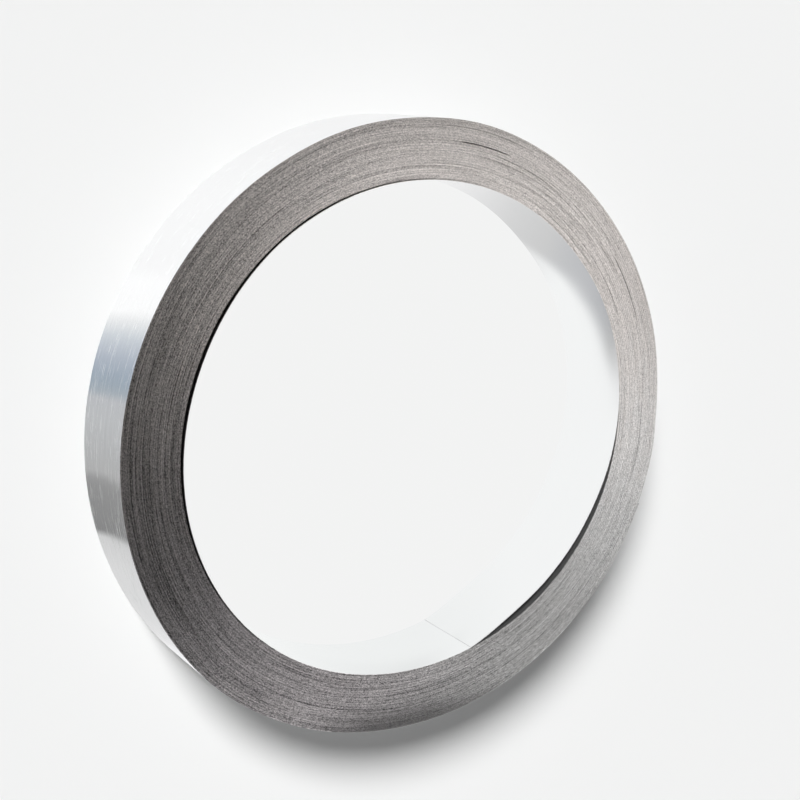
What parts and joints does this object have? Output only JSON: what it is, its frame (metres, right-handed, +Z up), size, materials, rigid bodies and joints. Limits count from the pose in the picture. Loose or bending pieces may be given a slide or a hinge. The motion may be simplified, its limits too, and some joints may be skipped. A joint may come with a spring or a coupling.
{
  "type": "roll of aluminium strip",
  "caption": "Flat metal strip wound turn on turn into a narrow ring-shaped roll with an open bore, its inner end sprung loose and its outer end lying on the rim.",
  "frame": {"origin": "centre of the bore, at the level of the lower end that the roll lies on", "axes": "+Z up along the roll's axis, from the lower end to the upper end; +X across the roll, 22 degrees past the strip's outer end"},
  "size_m": [0.3742, 0.3744, 0.055],
  "materials": {
    "aluminium_strip": "bright rolled strip with fine scratches along its length, and duller slit edges on the ends of the roll"
  },
  "bodies": {
    "root": {"strip_roll": "aluminium_strip"}
  },
  "joints": []
}
